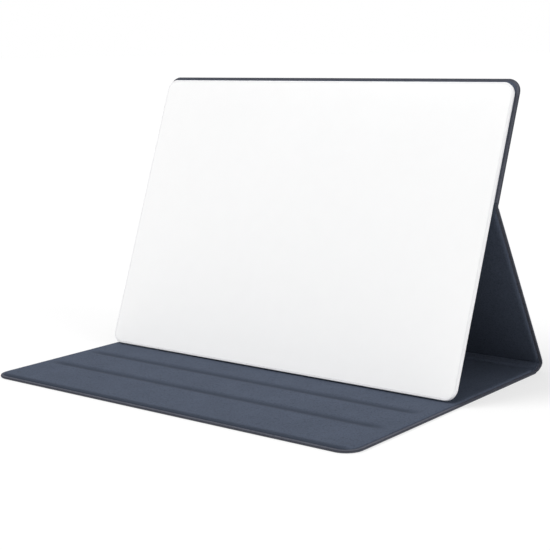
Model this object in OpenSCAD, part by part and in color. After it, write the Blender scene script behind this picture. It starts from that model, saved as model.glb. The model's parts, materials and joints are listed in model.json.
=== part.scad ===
// Magnetic whiteboard on a folding leather-covered easel.
// X runs along the board's width, Y towards the rear and Z up. The origin is on the desk, under the board's foot.

/* [Whiteboard slab] */
// Width of the slab
slab_w = 297; // [200:1:420]
// Height of the slab
slab_h = 205; // [150:0.5:290]
// Radius of the slab's corners
slab_corner_r = 8; // [2:0.5:20]
// Thickness of the glossy writing film
film_t = 0.3; // [0.1:0.05:0.6]
// Thickness of the steel sheet behind the film
steel_t = 0.4; // [0.2:0.05:1]
// Thickness of the light core
core_t = 1.5; // [0.5:0.1:5]
// Thickness of the film on the slab's back
back_film_t = 0.3; // [0.1:0.05:0.6]
// Width of the band round the slab's edge
edge_band_w = 1.2; // [0.6:0.1:1.8]
// Thickness of the tape that holds the slab to the cover
tape_t = 0.4; // [0.3:0.05:1]
// Distance of the tape from the edges of the panel that it lies on
tape_inset = 5; // [3:0.5:20]

/* [Cover] */
// Width of the cover that shows at each side of the slab
border = 2; // [0.5:0.5:6]
// Height of the cover that shows above the slab
top_border = 3.5; // [0.5:0.5:8]
// Radius of the cover's corners at the top of the board
top_corner_r = 9; // [3:0.5:20]
// Radius of the cover's corners at the front of the base
front_corner_r = 12; // [3:0.5:25]
// Thickness of the outer leather
skin_t = 0.5; // [0.3:0.05:0.8]
// Thickness of the stiffener boards
stiffener_t = 1.9; // [1.8:0.1:3]
// Thickness of the inner leather
lining_t = 0.4; // [0.2:0.05:0.6]
// Width of the outer leather turned in over the stiffeners' edges
turn_in = 6; // [4:0.5:15]
// Distance of the inner leather from the turned edges
lining_inset = 2; // [0.5:0.25:3]

/* [Stand] */
// Distance from the slab's foot up to the fold behind the board
hinge_up = 125; // [90:1:140]
// Length of the leg, from fold to fold
leg_len = 132.4; // [115:0.1:160]
// Length of the spine, from fold to fold
spine_len = 8.5; // [7:0.5:20]
// Lean of the spine above the desk, in degrees
spine_lean = 27.5; // [20:0.5:60]
// Distance from the slab's foot back to the fold at the base
base_rear = 104.5; // [85:0.5:125]
// Distance from the slab's foot to the base's front edge
base_front = 114; // [95:1:160]

/* [Seats] */
// Distance from the slab's foot to the middle seat groove
groove_mid = 30; // [15:0.5:45]
// Distance from the slab's foot to the front seat groove
groove_front = 67; // [55:0.5:80]
// Width of a seat groove
groove_w = 9; // [4:0.5:10]
// Depth of a seat groove
groove_depth = 0.7; // [0.3:0.05:0.7]
// Distance of the grooves' ends from the turned-in rim
groove_margin = 0.5; // [0.2:0.1:20]
// Number of magnets under each seat
magnet_count = 5; // [2:1:7]
// Length of a magnet
magnet_l = 30; // [10:1:38]
// Width of a magnet
magnet_w = 6; // [3:0.5:10]
// Thickness of a magnet
magnet_t = 0.8; // [0.5:0.05:0.8]
// Distance from the base's sides to the outer magnets' middles
magnet_margin = 40; // [30:1:50]

/* [Clearances] */
// Height of the slab's foot above the base
foot_gap = 0.4; // [0.2:0.05:0.8]
// Gap between a fold's roll and the panels beside it
fold_gap = 0.6; // [0.5:0.05:0.9]
// Play between glued layers, in their own plane
layer_fit = 0.05; // [0.02:0.01:0.1]

/* [Hidden] */
$fn = 64;
skin_colour = [0.22, 0.26, 0.32];
lining_colour = [0.31, 0.36, 0.42];
board_white = [0.97, 0.97, 0.97];

slab_t = film_t + steel_t + core_t + back_film_t;
panel_t = skin_t + stiffener_t + lining_t;
cover_w = slab_w + 2 * border;
fold_r = panel_t / 2;
// Distance from a fold's axis to the ends of its panels
fold_reach = fold_r + fold_gap;

// Fold axes in the YZ plane, and the angles of the panels about X
base_fold = [base_rear, fold_r];
leg_fold = base_fold + spine_len * [cos(spine_lean), sin(spine_lean)];
foot = [0, panel_t + foot_gap];
// The board's fold lies behind the slab's back by this much
fold_behind = tape_t + panel_t / 2;
// The foot, the board's fold and the leg's fold make a triangle with known sides
foot_to_board_fold = norm([hinge_up, fold_behind]);
foot_to_leg_fold = norm(leg_fold - foot);
foot_corner = acos((pow(foot_to_board_fold, 2) + pow(foot_to_leg_fold, 2) - pow(leg_len, 2))
    / (2 * foot_to_board_fold * foot_to_leg_fold));
leg_fold_rise = atan2(leg_fold[1] - foot[1], leg_fold[0] - foot[0]);
board_fold_rise = leg_fold_rise + foot_corner;
board_tilt = board_fold_rise + atan2(fold_behind, hinge_up);
board_fold = foot + foot_to_board_fold * [cos(board_fold_rise), sin(board_fold_rise)];
leg_angle = atan2(board_fold[1] - leg_fold[1], board_fold[0] - leg_fold[0]);

// A panel is [start, end, corner radius at its start, corner radius at its end] along the chain of folds.
// An end with a radius is free, and its leather is turned in. The other ends meet a fold.
base_panel = [-base_rear - base_front, -fold_reach, front_corner_r, 0];
spine_panel = [fold_reach, spine_len - fold_reach, 0, 0];
leg_panel = [fold_reach, leg_len - fold_reach, 0, 0];
upper_panel = [fold_reach, slab_h + top_border - hinge_up, 0, top_corner_r];

// Heights in a panel, from its middle
outer_face = -panel_t / 2;
inner_face = panel_t / 2;
stiffener_floor = outer_face + skin_t;
lining_floor = inner_face - lining_t;

// Heights in the slab, from the board fold's axis
slab_back = fold_behind;
core_floor = slab_back + back_film_t;
steel_floor = core_floor + core_t;
film_floor = steel_floor + steel_t;

// Radius of the round bottom of a seat groove
groove_r = (pow(groove_w / 2, 2) + pow(groove_depth, 2)) / (2 * groove_depth);
groove_places = [-groove_mid, -groove_front];
magnet_step = (cover_w - 2 * magnet_margin) / (magnet_count - 1);

// Extra length for cuts that run past a face
past = 1;

// Puts a flat panel at its fold and turns it about X
module place(fold, angle) translate([0, fold[0], fold[1]]) rotate([angle, 0, 0]) children();
module place_base() place(base_fold, 0) children();
module place_spine() place(base_fold, spine_lean) children();
module place_leg() place(leg_fold, leg_angle) children();
module place_board() place(board_fold, board_tilt) children();

// Rectangle from y0 to y1 with round corners, and a radius of its own at each end
module outline(half_w, y0, y1, r0, r1) {
    translate([-half_w, y0 + r0]) square([2 * half_w, y1 - r1 - y0 - r0]);
    translate([-half_w + r0, y0]) square([2 * (half_w - r0), y1 - r1 - y0]);
    translate([-half_w + r1, y0 + r0]) square([2 * (half_w - r1), y1 - y0 - r0]);
    for (side = [-1, 1]) {
        if (r0 > 0) translate([side * (half_w - r0), y0 + r0]) circle(r0);
        if (r1 > 0) translate([side * (half_w - r1), y1 - r1]) circle(r1);
    }
}

// Layer of a panel, drawn in by inset at its turned edges and by fold_inset where it meets a fold
module panel_layer(panel, inset, fold_inset, floor, height) {
    r0 = max(panel[2] - inset, 0);
    r1 = max(panel[3] - inset, 0);
    y0 = panel[0] + (panel[2] > 0 ? inset : fold_inset);
    y1 = panel[1] - (panel[3] > 0 ? inset : fold_inset);
    translate([0, 0, floor]) linear_extrude(height) outline(cover_w / 2 - inset, y0, y1, r0, r1);
}

// Outer leather of a panel: a tray whose rim is turned in over the stiffener
module panel_skin(panel) {
    difference() {
        panel_layer(panel, 0, 0, outer_face, skin_t + stiffener_t);
        panel_layer(panel, skin_t, skin_t, stiffener_floor, stiffener_t - skin_t);
        panel_layer(panel, turn_in, skin_t, stiffener_floor, stiffener_t + past);
    }
}

// Stiffener board, stepped down under the turned-in rim
module panel_stiffener(panel) {
    in_skin = skin_t + layer_fit;
    panel_layer(panel, in_skin, in_skin, stiffener_floor, stiffener_t - skin_t);
    panel_layer(panel, turn_in + layer_fit, in_skin, stiffener_floor, stiffener_t);
}

// Inner leather, glued over the stiffener and the turned-in rim
module panel_lining(panel) panel_layer(panel, lining_inset, 0, lining_floor, lining_t);

// Half of the leather roll in a fold: -1 is the outer half and 1 the inner half
module fold_roll(side, length) {
    intersection() {
        rotate([0, 90, 0]) cylinder(r = fold_r, h = length, center = true);
        translate([-length / 2, -fold_r, side > 0 ? 0 : -fold_r]) cube([length, 2 * fold_r, fold_r]);
    }
}
module fold_skin(fold, angle) color(skin_colour) place(fold, angle) fold_roll(-1, cover_w);
module fold_lining(fold, angle) color(lining_colour) place(fold, angle) fold_roll(1, cover_w - 2 * lining_inset);

// Layer of the slab, drawn in from its edge by inset
module slab_layer(inset, floor, height) {
    r = max(slab_corner_r - inset, 0);
    foot_end = -hinge_up + inset;
    top_end = slab_h - hinge_up - inset;
    place_board() translate([0, 0, floor]) linear_extrude(height)
        outline(slab_w / 2 - inset, foot_end, top_end, r, r);
}
in_band = edge_band_w + layer_fit;

module writing_film() color(board_white) slab_layer(in_band, film_floor, film_t);
module steel_sheet() color([0.62, 0.64, 0.66]) slab_layer(in_band, steel_floor, steel_t);
module board_core() color([0.85, 0.84, 0.80]) slab_layer(in_band, core_floor, core_t);
module board_back_film() color(board_white) slab_layer(in_band, slab_back, back_film_t);
module board_edge_band() color(board_white) difference() {
    slab_layer(0, slab_back, slab_t);
    slab_layer(edge_band_w, slab_back - past, slab_t + 2 * past);
}

module mounting_tape() color([0.90, 0.88, 0.80]) place_board()
    panel_layer(upper_panel, tape_inset, tape_inset, inner_face, tape_t);

module upper_back_skin() color(skin_colour) place_board() panel_skin(upper_panel);
module upper_back_stiffener() color("tan") place_board() panel_stiffener(upper_panel);
module upper_back_lining() color(lining_colour) place_board() panel_lining(upper_panel);
board_fold_angle = (leg_angle + board_tilt) / 2;
module board_fold_skin() fold_skin(board_fold, board_fold_angle);
module board_fold_lining() fold_lining(board_fold, board_fold_angle);

module leg_skin() color(skin_colour) place_leg() panel_skin(leg_panel);
module leg_stiffener() color("tan") place_leg() panel_stiffener(leg_panel);
module leg_lining() color(lining_colour) place_leg() panel_lining(leg_panel);
leg_fold_angle = (leg_angle + spine_lean) / 2;
module leg_fold_skin() fold_skin(leg_fold, leg_fold_angle);
module leg_fold_lining() fold_lining(leg_fold, leg_fold_angle);

module spine_skin() color(skin_colour) place_spine() panel_skin(spine_panel);
module spine_stiffener() color("tan") place_spine() panel_stiffener(spine_panel);
module spine_lining() color(lining_colour) place_spine() panel_lining(spine_panel);
module base_fold_skin() fold_skin(base_fold, spine_lean / 2);
module base_fold_lining() fold_lining(base_fold, spine_lean / 2);

// Round bar along a seat groove, in the base panel's frame. Its lowest line is the groove's bottom
module groove_bar(place_y, radius, end_play) {
    length = cover_w - 2 * (turn_in + groove_margin) + 2 * end_play;
    translate([0, place_y - base_rear, inner_face - groove_depth + groove_r])
        rotate([0, 90, 0]) cylinder(r = radius, h = length, center = true);
}

module base_lining() color(lining_colour) place_base() difference() {
    union() {
        panel_lining(base_panel);
        for (y = groove_places) intersection() {
            groove_bar(y, groove_r + lining_t, 0);
            translate([-cover_w / 2, y - base_rear - groove_r, lining_floor - groove_depth])
                cube([cover_w, 2 * groove_r, lining_t + groove_depth]);
        }
    }
    for (y = groove_places) groove_bar(y, groove_r, -lining_t);
}

// The magnets under one seat, in a row along X, with play all round for their pockets
module magnet_row(place_y, play) {
    for (i = [0 : magnet_count - 1])
        translate([-cover_w / 2 + magnet_margin + i * magnet_step, place_y - base_rear, stiffener_floor])
            translate([-magnet_l / 2 - play, -magnet_w / 2 - play, 0])
                cube([magnet_l + 2 * play, magnet_w + 2 * play, magnet_t + play]);
}
module magnets(place_y) color("silver") place_base() magnet_row(place_y, 0);
module rear_seat_magnets() magnets(0);
module middle_seat_magnets() magnets(-groove_mid);
module front_seat_magnets() magnets(-groove_front);

module base_stiffener() color("tan") place_base() difference() {
    panel_stiffener(base_panel);
    for (y = groove_places) groove_bar(y, groove_r + lining_t + layer_fit, layer_fit);
    for (y = concat(0, groove_places)) magnet_row(y, layer_fit);
}
module base_skin() color(skin_colour) place_base() panel_skin(base_panel);

writing_film();
steel_sheet();
board_core();
board_back_film();
board_edge_band();
mounting_tape();
upper_back_skin();
upper_back_stiffener();
upper_back_lining();
board_fold_skin();
board_fold_lining();
leg_skin();
leg_stiffener();
leg_lining();
leg_fold_skin();
leg_fold_lining();
spine_skin();
spine_stiffener();
spine_lining();
base_fold_skin();
base_fold_lining();
base_skin();
base_stiffener();
base_lining();
rear_seat_magnets();
middle_seat_magnets();
front_seat_magnets();
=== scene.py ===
"""Looks of a magnetic whiteboard on a folding leather-covered easel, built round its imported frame."""

import json
import math
from collections import namedtuple

import bpy
import numpy as np
from mathutils import Matrix, Vector


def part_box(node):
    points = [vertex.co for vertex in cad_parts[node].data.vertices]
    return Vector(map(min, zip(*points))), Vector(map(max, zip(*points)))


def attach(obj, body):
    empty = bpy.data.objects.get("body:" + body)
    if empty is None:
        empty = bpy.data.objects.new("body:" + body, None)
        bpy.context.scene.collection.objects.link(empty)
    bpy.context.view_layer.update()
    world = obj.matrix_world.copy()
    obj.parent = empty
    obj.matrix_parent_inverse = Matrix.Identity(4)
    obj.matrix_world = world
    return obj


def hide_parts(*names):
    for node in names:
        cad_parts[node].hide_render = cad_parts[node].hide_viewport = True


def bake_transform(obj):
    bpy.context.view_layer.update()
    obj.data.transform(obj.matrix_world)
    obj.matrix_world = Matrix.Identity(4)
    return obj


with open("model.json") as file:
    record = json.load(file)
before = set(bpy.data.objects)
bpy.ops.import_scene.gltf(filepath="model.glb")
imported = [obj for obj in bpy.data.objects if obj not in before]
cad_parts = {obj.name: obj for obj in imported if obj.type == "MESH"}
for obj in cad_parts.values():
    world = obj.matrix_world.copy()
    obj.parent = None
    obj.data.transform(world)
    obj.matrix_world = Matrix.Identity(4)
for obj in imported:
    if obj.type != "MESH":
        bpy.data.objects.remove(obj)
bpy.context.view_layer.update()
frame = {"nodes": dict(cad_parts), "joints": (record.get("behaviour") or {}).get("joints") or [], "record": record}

# The photograph's camera, solved from the object's edges. Lengths are in metres, angles in degrees, and
# places in the picture in pixels
PHOTO_SIZE = 550
FOCAL_PIXELS = 1270.50
LENS_CENTRE = (299.80, 296.00)
SENSOR_MM = 36
CAMERA_PLACE = (0.53448, -0.65531, 0.21898)
CAMERA_YAW = 37.680
CAMERA_PITCH = 11.044
CAMERA_ROLL = -0.787

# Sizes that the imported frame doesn't give, in metres
FRONT_CORNER = 0.012
TOP_CORNER = 0.009
SLAB_CORNER = 0.008
FOLD_REACH = 0.002
LIP_THICKNESS = 0.0017
LIP_ROUND = 0.0005
OUTER_ROUND = 0.0009
PAD_REACH = 0.0028
PAD_FALL = 0.0011
LINING_ROUND = 0.00035
STIFFENER_INSET = 0.0012
LINING_SEAT = 0.0001
FOLD_LAP = 0.003
FOLD_RECESS = 0.0002
FOLD_DIP = 0.0004
BAND_ROUND = 0.00045
UNEVENNESS = 0.00002
# Waves of the unevenness: radians a metre and phase for a wave across and one along, then for slanted ones
BROAD_WAVES = ((61, 1.3), (83, 0.4))
SLANTED_WAVES = ((143, -97, 2.1), (211, 187, 5.2))
SLANTED_SHARE = 0.5
GROOVE_PLACES = (-0.030, -0.067)
GROOVE_DEPTH = 0.0007
GROOVE_REACH = 0.0062
GROOVE_MARGIN = 0.0045
GROOVE_FADE = 0.012
# Reaches of the painted shade along the base's front, the lining's rim, the crease at the lip, the sides and the
# board's top
FRONT_SHADE_REACH = 0.005
RIM_SHADE_REACH = 0.0006
CREASE_DEPTH = 0.0015
CREASE_REACH = 0.0006
SIDE_SHADE_REACH = 0.0004
TOP_SHADE_REACH = 0.005
BAND_PLAY = 0.00005

# How far the leather is darkened towards its darker tone, from 0 to 1, mostly as painted shade
# Painted shade in the crease along the lining's rim
RIM_SHADE = 0.25
# Painted shade along the folds and the spine's sides
FOLD_SHADE = 0.6
# Painted shade in the crease at the lip and on the outer leather's sides
CREASE_SHADE = 0.15
SIDE_SHADE = 0.85
# Painted shade along the board's top edge
TOP_SHADE = 0.5
# The outer leather's underside is darker than its lip, so the lip shows as a painted highlight
BACK_SHADE = 0.22
# Painted shade along the front edge of the base
FRONT_SHADE = 0.8
# The seat grooves are darker
GROOVE_DARKENING = 0.65
DARKENED_TONE = 0.45

# How finely the pieces are divided: lengths in metres, counts, and the angle of a sharp edge in degrees
EDGE_ZONE = 0.0032
EDGE_ROWS = 14
EDGE_COLUMNS = 12
RIM_COLUMNS = (0.0045, 0.0065, 0.0090, 0.0120)
MIDDLE_COLUMNS = 41
ROW_SPACING = 0.006
GROOVE_ROW_SPACING = 0.0008
FOLD_ROWS = 25
CORNER_POINTS = 16
BAND_ROUND_POINTS = 6
SHARP_ANGLE = 45

# Light that reaches the object, and what the camera sees behind it. Spreads are in degrees, the floor's
# sizes in metres
SUN_FROM = (-0.50, -0.42, 0.76)
SUN_STRENGTH = 1.75
SUN_SPREAD = 35
FILL_FROM = (0.985, -0.12, 0.12)
FILL_STRENGTH = 1.85
FILL_SPREAD = 40
AMBIENT = 0.57
FLOOR_COLOUR = 0.60
FLOOR_SEEN = 0.38
FLOOR_GLOW = 0.62
FLOOR_SIZE = 60
FLOOR_DROP = 0.0001

# Colour and grain of the leather. Tones multiply the colour, and a noise has a scale and a detail
LINING_COLOUR = (0.073, 0.088, 0.122)
OUTER_COLOUR = (0.095, 0.100, 0.123)
LEATHER_SHEEN = 0.005
LEATHER_ROUGHNESS = (0.5, 0.68)
PEBBLE_SCALE = 1100
PEBBLE_SMOOTHNESS = 0.4
PEBBLE_DEPTH = 0.00008
CREVICE_PLACES = (0.45, 0.9)
CREVICE_SHARE = 0.45
CREVICE_TONE = 0.55
CLOUD_NOISE = (45, 4)
CLOUD_TONES = (0.93, 1.07)
SPECK_NOISE = (620, 2)
SPECK_SHARE = 0.5
SPECK_TONE = 1.28
WRINKLE_NOISE = (160, 3)
WRINKLE_DEPTH = 0.00012
NOISE_LOW = 0.3
NOISE_HIGH = 0.7

# The other materials: colour, scale and contrast of the grain, roughness, depth of the grain, and 1 for metal
Finish = namedtuple("Finish", "colour scale contrast roughness depth metallic")
FINISHES = {
    # The edge band's grey, darker than the writing film, is a painted shade line round the slab
    "edge_band": Finish((0.82, 0.82, 0.83), 300, 0.02, 0.38, 0.00001, 0),
    "stiffener_board": Finish((0.45, 0.41, 0.35), 900, 0.15, 0.85, 0.00004, 0),
    "writing_film": Finish((0.93, 0.93, 0.93), 90, 0.004, 0.16, 0.000004, 0),
    "back_film": Finish((0.88, 0.88, 0.87), 700, 0.03, 0.6, 0.00001, 0),
    "core": Finish((0.85, 0.84, 0.80), 500, 0.08, 0.8, 0.00005, 0),
    "steel": Finish((0.62, 0.63, 0.65), 250, 0.06, 0.35, 0.000005, 1),
    "tape": Finish((0.88, 0.86, 0.78), 400, 0.04, 0.5, 0.00002, 0),
    "magnet": Finish((0.70, 0.70, 0.72), 300, 0.05, 0.28, 0.000004, 1),
}
GRAIN_DETAIL = 4
# The roughness changes by this share, over patches this many times as large as the grain
ROUGHNESS_CHANGE = 0.15
PATCH_SIZE = 6
PATCH_DETAIL = 2

# Sockets of the Mix node for colours, which share their names with those for numbers
MIX_COLOURS = (6, 7)
MIX_RESULT = 2

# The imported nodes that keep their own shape, with their materials
KEPT_NODES = {
    "writing_film": "writing_film",
    "steel_sheet": "steel",
    "board_core": "core",
    "board_back_film": "back_film",
    "mounting_tape": "tape",
    "upper_back_stiffener": "stiffener_board",
    "rear_seat_magnets": "magnet",
    "middle_seat_magnets": "magnet",
    "front_seat_magnets": "magnet",
}

# The panel of each body, and the bodies that each fold joins
PANELS = {"base": "base", "spine": "spine", "leg": "leg", "board": "upper_back"}
FOLD_BODIES = {"base_fold": ("base", "spine"), "leg_fold": ("spine", "leg"), "board_fold": ("leg", "board")}

# A distance beyond every panel's end
FAR = 1.0

# A place is a panel's start in the YZ plane with its angle above +Y. A shape is a piece's outline in its
# panel's own frame: its half width, its ends and the radii of its corners
Place = namedtuple("Place", "origin tilt")
Shape = namedtuple("Shape", "half start end start_corner end_corner")


def tilt_between(start, end):
    """Angle above +Y of the line from start to end, both in the YZ plane."""
    return math.atan2(end[1] - start[1], end[0] - start[0])


def along_tilt(tilt):
    """The direction of a tilted panel in the YZ plane."""
    return np.array([math.cos(tilt), math.sin(tilt)])


FOLDS = {joint["name"]: np.array(joint["pos_m"][1:]) for joint in frame["joints"]}
WRITING_AXIS = next(mount["axis"] for mount in frame["record"]["mounts"] if mount["name"] == "writing_face")
PLACES = {
    "base": Place(FOLDS["base_fold"], 0.0),
    "spine": Place(FOLDS["base_fold"], tilt_between(FOLDS["base_fold"], FOLDS["leg_fold"])),
    "leg": Place(FOLDS["leg_fold"], tilt_between(FOLDS["leg_fold"], FOLDS["board_fold"])),
    "board": Place(FOLDS["board_fold"], math.atan2(-WRITING_AXIS[1], WRITING_AXIS[2])),
}


def extent(node, body):
    """Lowest and highest corner of a node in its panel's own frame."""
    place = PLACES[body]
    points = np.array([vertex.co for vertex in frame["nodes"][node].data.vertices])
    along, up = points[:, 1] - place.origin[0], points[:, 2] - place.origin[1]
    cosine, sine = math.cos(place.tilt), math.sin(place.tilt)
    local = np.stack([points[:, 0], along * cosine + up * sine, up * cosine - along * sine], 1)
    return local.min(0), local.max(0)


def flat_line(body):
    """Maps (x, along, height) in a panel's own frame to the model's frame."""
    origin, tilt = PLACES[body]
    cosine, sine = math.cos(tilt), math.sin(tilt)

    def to_model(x, along, height):
        y = origin[0] + along * cosine - height * sine
        z = origin[1] + along * sine + height * cosine
        return np.stack([x, y, z], -1)

    return to_model


def turned_line(fold, before, after):
    """Maps (x, along, height) to the model's frame round a fold, and gives half the length of the turn."""
    turn = after - before
    side = math.copysign(1, turn)
    radius = FOLD_REACH / math.tan(abs(turn) / 2)
    half_turn = radius * abs(turn) / 2
    middle = (before + after) / 2
    to_centre = side * radius / math.cos(turn / 2)
    centre = fold + to_centre * np.array([-math.sin(middle), math.cos(middle)])

    def to_model(x, along, height):
        on_arc = np.clip(along, -half_turn, half_turn)
        angle = middle + turn * on_arc / (2 * half_turn)
        past, outward = along - on_arc, height - side * radius
        y = centre[0] + past * np.cos(angle) - outward * np.sin(angle)
        z = centre[1] + past * np.sin(angle) + outward * np.cos(angle)
        return np.stack([x, y, z], -1)

    return to_model, half_turn


def crowded(reach, count):
    """Distances from 0 to reach that crowd towards 0."""
    return reach * (1 - np.cos(np.linspace(0, math.pi / 2, count + 1)))


def rounded_drop(depth, reach, fall=None):
    """How far a circular or elliptical edge lies below its face, at a depth inside the outline."""
    inside = 1 - np.clip(depth / reach, 0, 1)
    return (fall or reach) * (1 - np.sqrt(1 - inside**2))


def smooth_step(value):
    """Goes from 0 to 1 with level ends."""
    part = np.clip(value, 0, 1)
    return part * part * (3 - 2 * part)


def corner_gaps(shape, along):
    """Each end's corner radius, with the distance of each place from that end."""
    return (shape.start_corner, along - shape.start), (shape.end_corner, shape.end - along)


def half_width_at(shape, along):
    """Half the shape's width, which narrows in its round corners."""
    narrower = np.zeros_like(along)
    for corner, gap in corner_gaps(shape, along):
        into = np.clip(corner - gap, 0, corner)
        narrower = np.maximum(narrower, corner - np.sqrt(corner**2 - into**2))
    return shape.half - narrower


def depth_inside(shape, x, along):
    """Distance of each point inside the shape's outline."""
    depth = np.minimum(shape.half - abs(x), np.minimum(along - shape.start, shape.end - along))
    for corner, gap in corner_gaps(shape, along):
        across, into = abs(x) - (shape.half - corner), corner - gap
        depth = np.where((across > 0) & (into > 0), corner - np.hypot(across, into), depth)
    return np.maximum(depth, 0)


def side_depth(shape, x, along):
    """Distance of each point from the shape's nearer side."""
    return shape.half - abs(x)


def panel_rows(shape, extra=()):
    """Places along a panel for its rows of points, which crowd at the ends and take in the extra ones."""
    near_start = shape.start + crowded(max(shape.start_corner, EDGE_ZONE), EDGE_ROWS)
    near_end = shape.end - crowded(max(shape.end_corner, EDGE_ZONE), EDGE_ROWS)
    length = near_end[-1] - near_start[-1]
    between = np.linspace(near_start[-1], near_end[-1], max(2, round(length / ROW_SPACING)))
    return np.unique(np.concatenate([near_start, near_end, between, extra]).round(6))


def sheet_mesh(name, shape, rows, to_model, top, bottom, darkening, under_darkening, depth_of=depth_inside):
    """A closed sheet between two heights at each place. Two arguments give how far its top and its underside are
    darkened, mostly as painted shade.
    """
    half = half_width_at(shape, rows)
    from_edge = np.concatenate([crowded(EDGE_ZONE, EDGE_COLUMNS), RIM_COLUMNS])
    left = from_edge - half[:, None]
    middle = np.linspace(-1, 1, MIDDLE_COLUMNS)[1:-1] * (half[:, None] - from_edge[-1])
    x = np.concatenate([left, middle, -left[:, ::-1]], 1)
    along = np.repeat(rows[:, None], x.shape[1], 1)
    depth = depth_of(shape, x, along)
    above = to_model(x, along, top(x, along, depth)).reshape(-1, 3)
    below = to_model(x, along, bottom(x, along, depth)).reshape(-1, 3)
    index = np.arange(x.size).reshape(x.shape)
    upper = np.stack([index[:-1, :-1], index[:-1, 1:], index[1:, 1:], index[1:, :-1]], -1).reshape(-1, 4)
    lower = upper[:, ::-1] + x.size
    rim = np.concatenate([index[0], index[1:, -1], index[-1, -2::-1], index[-2:0:-1, 0]])
    ahead = np.roll(rim, -1)
    walls = np.stack([rim, rim + x.size, ahead + x.size, ahead], 1)
    mesh = bpy.data.meshes.new(name)
    faces = np.concatenate([upper, lower, walls])
    mesh.from_pydata(np.concatenate([above, below]).tolist(), [], faces.tolist())
    # Each point's darkening, mostly painted shade; the underside takes one value
    attribute = mesh.attributes.new("darkening", "FLOAT", "POINT")
    darkened = np.concatenate([darkening(x, along, depth).ravel(), np.full(x.size, under_darkening)])
    attribute.data.foreach_set("value", darkened.astype(np.float32))
    return shown(name, mesh)


def shown(name, mesh):
    """Links a mesh as a smooth-shaded object with sharp edges where it turns steeply."""
    mesh.shade_smooth()
    mesh.set_sharp_from_angle(angle=math.radians(SHARP_ANGLE))
    piece = bpy.data.objects.new(name, mesh)
    bpy.context.scene.collection.objects.link(piece)
    return piece


def dressed(piece, material, slot, *nodes):
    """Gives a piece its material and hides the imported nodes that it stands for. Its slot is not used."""
    piece.data.materials.append(material)
    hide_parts(*nodes)


def unevenness(x, along):
    """Slight unevenness of glued leather."""
    broad = np.ones_like(x)
    for place, (rate, phase) in zip((x, along), BROAD_WAVES):
        broad = broad * np.sin(rate * place + phase)
    slanted = sum(np.sin(rate * x + slant * along + phase) for rate, slant, phase in SLANTED_WAVES)
    return UNEVENNESS * (broad + SLANTED_SHARE * slanted)


def groove_lines(body):
    """Places of the seat grooves along a panel. Only the base has them."""
    return [place - PLACES[body].origin[0] for place in GROOVE_PLACES if body == "base"]


def groove_rows(body):
    """Places for rows of points across the seat grooves."""
    across = np.arange(-GROOVE_REACH, GROOVE_REACH, GROOVE_ROW_SPACING)
    return np.ravel([line + across for line in groove_lines(body)])


def groove_share(body, x, along):
    """Share of the seat grooves' full depth at each place on a panel, with soft sides and ends."""
    half = extent(f"{body}_lining", body)[1][0] if body == "base" else 0
    share = np.zeros_like(x)
    for line in groove_lines(body):
        share = np.maximum(share, 1 - smooth_step(abs(along - line) / GROOVE_REACH))
    return share * smooth_step((half - GROOVE_MARGIN - abs(x)) / GROOVE_FADE)


def rim_shade(x, along, depth):
    """Painted shade along the lining's edges, in the crease where it meets the lip."""
    return RIM_SHADE * (1 - smooth_step(depth / RIM_SHADE_REACH))


def lip_shade_and_highlight(x, along, depth):
    """Painted shade on the outer leather's sides and in the crease at the pad. The lip between keeps the leather's
    lighter colour, a painted highlight.
    """
    side = SIDE_SHADE * (1 - smooth_step(depth / SIDE_SHADE_REACH))
    return side + CREASE_SHADE * smooth_step((depth - CREASE_DEPTH) / CREASE_REACH)


def fold_shade(x, along, depth):
    """Painted shade along the sides of the folds and of the spine, on the lining."""
    return FOLD_SHADE * (1 - smooth_step(depth / PAD_REACH))


def lip_level(body):
    """Height of the outer leather at the panel's edges. Behind the slab it wraps the whole edge."""
    low, high = extent(f"{PANELS[body]}_skin", body)
    return high[2] if body == "board" else low[2] + LIP_THICKNESS


def free_shape(shape, body):
    """A panel's shape without its ends at the folds, whose edges stay square."""
    start = shape.start if body == "base" else -FAR
    end = shape.end if body == "board" else FAR
    return shape._replace(start=start, end=end)


def outer_panel(body, start_corner, end_corner):
    """The outer leather of a panel, with a lip that stands out round the padded inner side."""
    node = f"{PANELS[body]}_skin"
    low, high = extent(node, body)
    shape = Shape(high[0], low[1], high[1], start_corner, end_corner)
    lip = lip_level(body)
    lip_round = OUTER_ROUND if body == "board" else LIP_ROUND

    def top(x, along, depth):
        return lip - rounded_drop(depth, lip_round)

    def bottom(x, along, depth):
        return low[2] + rounded_drop(depth, OUTER_ROUND)

    def darkening(x, along, depth):
        # Painted shade along the top edge of the board's outer leather
        at_top = TOP_SHADE * (body == "board") * (1 - smooth_step((shape.end - along) / TOP_SHADE_REACH))
        return np.maximum(lip_shade_and_highlight(x, along, depth), at_top)

    name = node.replace("skin", "outer_leather")
    piece = sheet_mesh(name, shape, panel_rows(shape), flat_line(body), top, bottom, darkening, BACK_SHADE)
    dressed(piece, OUTER_LEATHER, "outer_leather", node)
    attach(piece, body)


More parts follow.
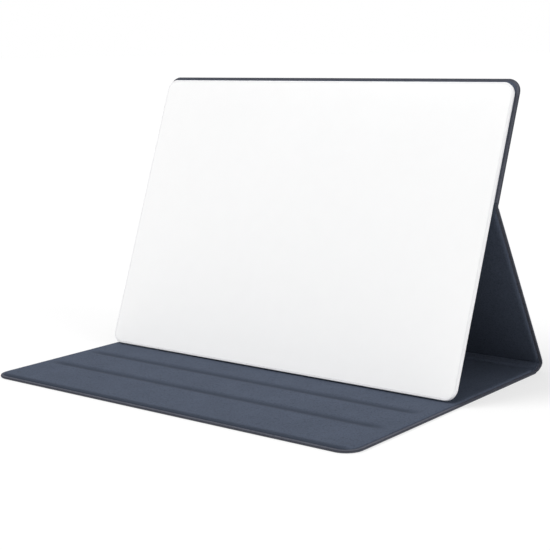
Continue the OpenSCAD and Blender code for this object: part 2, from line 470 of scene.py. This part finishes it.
def inner_panel(body, start_corner, end_corner):
    """The inner side of a panel, a pad with rounded edges that stands on the outer leather."""
    node = f"{PANELS[body]}_lining"
    low, high = extent(node, body)
    shape = Shape(high[0], low[1], high[1], start_corner, end_corner)
    free = free_shape(shape, body)
    pad_fall = LINING_ROUND if body == "board" else PAD_FALL

    # Share of the painted shade along the front edge of the base
    def front_shade_share(along):
        return (body == "base") * (1 - smooth_step((along - shape.start) / FRONT_SHADE_REACH))

    def top(x, along, depth):
        edges = rounded_drop(depth_inside(free, x, along), PAD_REACH, pad_fall)
        drop = np.maximum(edges, rounded_drop(depth, LINING_ROUND)) + abs(unevenness(x, along))
        return high[2] - drop - GROOVE_DEPTH * groove_share(body, x, along)

    def bottom(x, along, depth):
        return np.full_like(x, lip_level(body) - LINING_SEAT)

    def darkening(x, along, depth):
        in_front, in_groove = FRONT_SHADE * front_shade_share(along), GROOVE_DARKENING * groove_share(body, x, along)
        edge_shade = fold_shade if body == "spine" else rim_shade
        return np.maximum.reduce([edge_shade(x, along, depth_inside(free, x, along)), in_front, in_groove])

    name = node.replace("lining", "inner_leather")
    rows = panel_rows(shape, groove_rows(body))
    piece = sheet_mesh(name, shape, rows, flat_line(body), top, bottom, darkening, 0.0)
    dressed(piece, INNER_LEATHER, "inner_leather", node)
    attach(piece, body)


def stiffener(body, start_corner=0.0):
    """The board inside a panel, drawn in from the pad's sides."""
    node = f"{PANELS[body]}_stiffener"
    low, high = extent(node, body)
    pad_low, pad_high = extent(f"{PANELS[body]}_lining", body)
    start = pad_low[1] + STIFFENER_INSET
    shape = Shape(pad_high[0] - STIFFENER_INSET, start, pad_high[1] - STIFFENER_INSET, start_corner, 0.0)

    def top(x, along, depth):
        return high[2] - GROOVE_DEPTH * groove_share(body, x, along)

    def bottom(x, along, depth):
        return np.full_like(x, low[2])

    def darkening(x, along, depth):
        return np.zeros_like(x)

    rows = panel_rows(shape, groove_rows(body))
    piece = sheet_mesh(f"{node}_board", shape, rows, flat_line(body), top, bottom, darkening, 0.0)
    dressed(piece, PLAIN["stiffener_board"], "stiffener_board", node)
    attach(piece, body)


def fold_strips(fold, before_body, after_body):
    """The outer and the inner leather that bend round a fold. They dip between the panels' ends."""
    axis = FOLDS[fold]
    before, after = PLACES[before_body].tilt, PLACES[after_body].tilt
    to_model, half_turn = turned_line(axis, before, after)
    reach = half_turn + FOLD_LAP
    rows = np.linspace(-reach, reach, FOLD_ROWS)
    ends = [axis - FOLD_REACH * along_tilt(before), axis + FOLD_REACH * along_tilt(after)]
    start, end = [(0, *point) for point in ends]
    half_thickness = extent("spine_lining", "spine")[1][2]
    lip = lip_level("spine")

    def dip(along):
        return FOLD_RECESS + FOLD_DIP * (1 - smooth_step(abs(along) / FOLD_REACH))

    def outer_top(x, along, depth):
        return lip - FOLD_RECESS - rounded_drop(depth, LIP_ROUND)

    def outer_bottom(x, along, depth):
        return dip(along) - half_thickness + rounded_drop(depth, OUTER_ROUND)

    def inner_top(x, along, depth):
        return half_thickness - dip(along) - rounded_drop(depth, PAD_REACH, PAD_FALL - FOLD_RECESS - FOLD_DIP)

    def inner_bottom(x, along, depth):
        return np.full_like(x, lip - FOLD_RECESS - LINING_SEAT)

    for side, top, bottom, darkening, under_darkening, material, slot in (
        ("skin", outer_top, outer_bottom, lip_shade_and_highlight, BACK_SHADE, OUTER_LEATHER, "outer_leather"),
        ("lining", inner_top, inner_bottom, fold_shade, 0.0, INNER_LEATHER, "inner_leather"),
    ):
        node = f"{fold}_{side}"
        shape = Shape(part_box(node)[1].x, -reach, reach, 0.0, 0.0)
        name = node.replace(side, slot)
        piece = sheet_mesh(name, shape, rows, to_model, top, bottom, darkening, under_darkening, side_depth)
        dressed(piece, material, slot, node)
        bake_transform(piece)
        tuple(start)
        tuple(end)


def rounded_outline(half, start, end, corner, inset):
    """Points round a rectangle with round corners, drawn in by inset. Each inset has as many points."""
    radius = corner - inset
    turns = np.linspace(0, math.pi / 2, CORNER_POINTS)
    centres = (
        (half - corner, start + corner, -math.pi / 2),
        (half - corner, end - corner, 0.0),
        (corner - half, end - corner, math.pi / 2),
        (corner - half, start + corner, math.pi),
    )
    arcs = [
        np.stack([x + radius * np.cos(first + turns), y + radius * np.sin(first + turns)], 1)
        for x, y, first in centres
    ]
    return np.concatenate(arcs)


def edge_band():
    """The white band round the slab, with rounded outer edges. Its material is light grey, a painted shade line
    round the slab's edge.
    """
    node = "board_edge_band"
    low, high = extent(node, "board")
    width = high[0] - extent("writing_film", "board")[1][0] - BAND_PLAY
    turns = np.linspace(0, math.pi / 2, BAND_ROUND_POINTS)
    inset = BAND_ROUND * (1 - np.sin(turns))
    rise = BAND_ROUND * (1 - np.cos(turns))
    lower = [(drawn_in, low[2] + up) for drawn_in, up in zip(inset, rise)]
    upper = [(drawn_in, high[2] - down) for drawn_in, down in zip(inset[::-1], rise[::-1])]
    section = [(width, low[2]), *lower, *upper, (width, high[2])]
    to_model = flat_line("board")
    rings = []
    for drawn_in, height in section:
        outline = rounded_outline(high[0], low[1], high[1], SLAB_CORNER, drawn_in)
        rings.append(to_model(outline[:, 0], outline[:, 1], np.full(len(outline), height)))
    points = np.stack(rings)
    index = np.arange(points.shape[0] * points.shape[1]).reshape(points.shape[:2])
    beyond = np.roll(index, -1, 0)
    corners = [index, np.roll(index, -1, 1), np.roll(beyond, -1, 1), beyond]
    faces = np.stack(corners, -1).reshape(-1, 4)
    mesh = bpy.data.meshes.new("slab_edge_band")
    mesh.from_pydata(points.reshape(-1, 3).tolist(), [], faces.tolist())
    piece = shown("slab_edge_band", mesh)
    dressed(piece, PLAIN["edge_band"], "edge_band", node)
    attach(piece, "board")


def set_inputs(node, **values):
    """Sets a node's sockets by name. An underscore in a name stands for a space."""
    for name, value in values.items():
        node.inputs[name.replace("_", " ")].default_value = value


def new_material(name):
    """A material with its node tree and its shader."""
    material = bpy.data.materials.new(name)
    material.use_nodes = True
    return material, material.node_tree, material.node_tree.nodes["Principled BSDF"]


def object_noise(tree, scale, detail):
    """Noise that is fixed to the object."""
    place = tree.nodes.new("ShaderNodeTexCoord")
    noise = tree.nodes.new("ShaderNodeTexNoise")
    set_inputs(noise, Scale=scale, Detail=detail)
    tree.links.new(place.outputs["Object"], noise.inputs["Vector"])
    return noise.outputs["Fac"]


def mapped(tree, value, start, end, low, high):
    """Turns a value from start to end into one from low to high."""
    ranged = tree.nodes.new("ShaderNodeMapRange")
    set_inputs(ranged, From_Min=start, From_Max=end, To_Min=low, To_Max=high)
    tree.links.new(value, ranged.inputs["Value"])
    return ranged.outputs["Result"]


def spread(tree, noise, low, high):
    """Spreads a noise, which keeps near a half, over low to high."""
    return mapped(tree, noise, NOISE_LOW, NOISE_HIGH, low, high)


def mixed(tree, share, first, second):
    """Mixes two colours. Each is a colour or a socket."""
    mix = tree.nodes.new("ShaderNodeMix")
    mix.data_type = "RGBA"
    tree.links.new(share, mix.inputs["Factor"])
    for number, colour in zip(MIX_COLOURS, (first, second)):
        socket = mix.inputs[number]
        if isinstance(colour, tuple):
            socket.default_value = (*colour, 1)
        else:
            tree.links.new(colour, socket)
    return mix.outputs[MIX_RESULT]


def shaded(colour, share):
    """A colour made darker or lighter."""
    return tuple(channel * share for channel in colour)


def bump(tree, height, depth, normal=None):
    """Bump of a given depth in metres, on top of another one."""
    node = tree.nodes.new("ShaderNodeBump")
    set_inputs(node, Strength=1.0, Distance=depth)
    tree.links.new(height, node.inputs["Height"])
    if normal:
        tree.links.new(normal, node.inputs["Normal"])
    return node.outputs["Normal"]


def leather(name, colour):
    """Fine-grained coated leather: pebbles, a cloudy tone, and a darker tone where a point attribute asks for it,
    mostly painted shade.
    """
    material, tree, shader = new_material(name)
    place = tree.nodes.new("ShaderNodeTexCoord")
    pebbles = tree.nodes.new("ShaderNodeTexVoronoi")
    pebbles.feature = "SMOOTH_F1"
    set_inputs(pebbles, Scale=PEBBLE_SCALE, Smoothness=PEBBLE_SMOOTHNESS)
    tree.links.new(place.outputs["Object"], pebbles.inputs["Vector"])
    clouds = object_noise(tree, *CLOUD_NOISE)
    specks = object_noise(tree, *SPECK_NOISE)
    tone = mixed(tree, spread(tree, clouds, 0, 1), *(shaded(colour, share) for share in CLOUD_TONES))
    tone = mixed(tree, spread(tree, specks, 0, SPECK_SHARE), tone, shaded(colour, SPECK_TONE))
    crevices = mapped(tree, pebbles.outputs["Distance"], *CREVICE_PLACES, 0, CREVICE_SHARE)
    tone = mixed(tree, crevices, tone, shaded(colour, CREVICE_TONE))
    # The darker tone is mixed in by the mesh's darkening attribute, mostly painted shade
    darkening = tree.nodes.new("ShaderNodeAttribute")
    darkening.attribute_name = "darkening"
    tone = mixed(tree, darkening.outputs["Fac"], tone, shaded(colour, DARKENED_TONE))
    tree.links.new(tone, shader.inputs["Base Color"])
    tree.links.new(spread(tree, specks, *LEATHER_ROUGHNESS), shader.inputs["Roughness"])
    wrinkled = bump(tree, object_noise(tree, *WRINKLE_NOISE), WRINKLE_DEPTH)
    inverted = tree.nodes.new("ShaderNodeMath")
    inverted.operation = "SUBTRACT"
    inverted.inputs[0].default_value = 1
    tree.links.new(pebbles.outputs["Distance"], inverted.inputs[1])
    pebbled = bump(tree, inverted.outputs["Value"], PEBBLE_DEPTH, wrinkled)
    tree.links.new(pebbled, shader.inputs["Normal"])
    set_inputs(shader, Specular_IOR_Level=LEATHER_SHEEN)
    return material


def grained(name, finish):
    """A material with a grain that changes its tone, its roughness and its height."""
    material, tree, shader = new_material(name)
    grain = object_noise(tree, finish.scale, GRAIN_DETAIL)
    darker, paler = shaded(finish.colour, 1 - finish.contrast), shaded(finish.colour, 1 + finish.contrast)
    tree.links.new(mixed(tree, spread(tree, grain, 0, 1), darker, paler), shader.inputs["Base Color"])
    patches = object_noise(tree, finish.scale / PATCH_SIZE, PATCH_DETAIL)
    smoother, rougher = finish.roughness * (1 - ROUGHNESS_CHANGE), finish.roughness * (1 + ROUGHNESS_CHANGE)
    tree.links.new(spread(tree, patches, smoother, rougher), shader.inputs["Roughness"])
    tree.links.new(bump(tree, grain, finish.depth), shader.inputs["Normal"])
    set_inputs(shader, Metallic=finish.metallic)
    return material


def seen_directly(tree):
    """1 for what the camera sees, also in a mirror or through glass, and 0 for other light."""
    path = tree.nodes.new("ShaderNodeLightPath")
    reached = path.outputs["Is Camera Ray"]
    for output in ("Is Glossy Ray", "Is Transmission Ray"):
        either = tree.nodes.new("ShaderNodeMath")
        either.operation = "MAXIMUM"
        tree.links.new(reached, either.inputs[0])
        tree.links.new(path.outputs[output], either.inputs[1])
        reached = either.outputs["Value"]
    return reached


def make_floor():
    """A plain floor that keeps the object's shadow. The camera sees it brighter than it lights the object."""
    material, tree, shader = new_material("floor")
    seen = seen_directly(tree)
    shade = mixed(tree, seen, (FLOOR_COLOUR,) * 3, (FLOOR_SEEN,) * 3)
    tree.links.new(shade, shader.inputs["Base Color"])
    glow = mixed(tree, seen, (0.0, 0.0, 0.0), (FLOOR_GLOW,) * 3)
    tree.links.new(glow, shader.inputs["Emission Color"])
    set_inputs(shader, Roughness=1.0, Specular_IOR_Level=0.0, Emission_Strength=1.0)
    bpy.ops.mesh.primitive_plane_add(size=FLOOR_SIZE, location=(0, 0, -FLOOR_DROP))
    floor = bpy.context.object
    floor.name = "floor"
    floor.data.materials.append(material)


def make_light():
    """A soft sun from the front left, a low one from the right, and even light. The background is white."""
    for name, source, strength, width in (
        ("key", SUN_FROM, SUN_STRENGTH, SUN_SPREAD),
        ("fill", FILL_FROM, FILL_STRENGTH, FILL_SPREAD),
    ):
        sun = bpy.data.lights.new(name, "SUN")
        sun.energy = strength
        sun.angle = math.radians(width)
        lamp = bpy.data.objects.new(name, sun)
        lamp.rotation_mode = "QUATERNION"
        lamp.rotation_quaternion = (-Vector(source)).to_track_quat("-Z", "Y")
        bpy.context.scene.collection.objects.link(lamp)
    world = bpy.data.worlds.new("studio")
    world.use_nodes = True
    bpy.context.scene.world = world
    tree = world.node_tree
    background = tree.nodes["Background"]
    set_inputs(background, Color=(1, 1, 1, 1))
    level = mapped(tree, seen_directly(tree), 0, 1, AMBIENT, 1)
    tree.links.new(level, background.inputs["Strength"])


def make_camera():
    """The photograph's camera."""
    yaw, pitch, roll = (math.radians(angle) for angle in (CAMERA_YAW, CAMERA_PITCH, CAMERA_ROLL))
    forward = Vector((-math.sin(yaw) * math.cos(pitch), math.cos(yaw) * math.cos(pitch), -math.sin(pitch)))
    level_right = Vector((math.cos(yaw), math.sin(yaw), 0))
    level_up = level_right.cross(forward)
    right = math.cos(roll) * level_right + math.sin(roll) * level_up
    up = math.cos(roll) * level_up - math.sin(roll) * level_right
    data = bpy.data.cameras.new("camera")
    data.sensor_width = SENSOR_MM
    data.lens = FOCAL_PIXELS * SENSOR_MM / PHOTO_SIZE
    data.shift_x = 0.5 - LENS_CENTRE[0] / PHOTO_SIZE
    data.shift_y = LENS_CENTRE[1] / PHOTO_SIZE - 0.5
    camera = bpy.data.objects.new("camera", data)
    turn = Matrix((right, up, -forward)).transposed()
    camera.matrix_world = Matrix.Translation(CAMERA_PLACE) @ turn.to_4x4()
    bpy.context.scene.collection.objects.link(camera)
    bpy.context.scene.camera = camera


OUTER_LEATHER = leather("outer_leather", OUTER_COLOUR)
INNER_LEATHER = leather("inner_leather", LINING_COLOUR)
PLAIN = {name: grained(name, finish) for name, finish in FINISHES.items()}

make_camera()
make_light()
make_floor()

lining_inset = extent("base_skin", "base")[1][0] - extent("base_lining", "base")[1][0]
for panel, start_corner, end_corner in (
    ("base", FRONT_CORNER, 0.0),
    ("spine", 0.0, 0.0),
    ("leg", 0.0, 0.0),
    ("board", 0.0, TOP_CORNER),
):
    outer_panel(panel, start_corner, end_corner)
    inner_panel(panel, max(start_corner - lining_inset, 0.0), max(end_corner - lining_inset, 0.0))
stiffener("base", FRONT_CORNER - lining_inset - STIFFENER_INSET)
stiffener("spine")
stiffener("leg")
for fold, bodies in FOLD_BODIES.items():
    fold_strips(fold, *bodies)
edge_band()

for node, material in KEPT_NODES.items():
    data = frame["nodes"][node].data
    data.materials.clear()
    data.materials.append(PLAIN[material])

bpy.context.scene.view_settings.view_transform = "Standard"
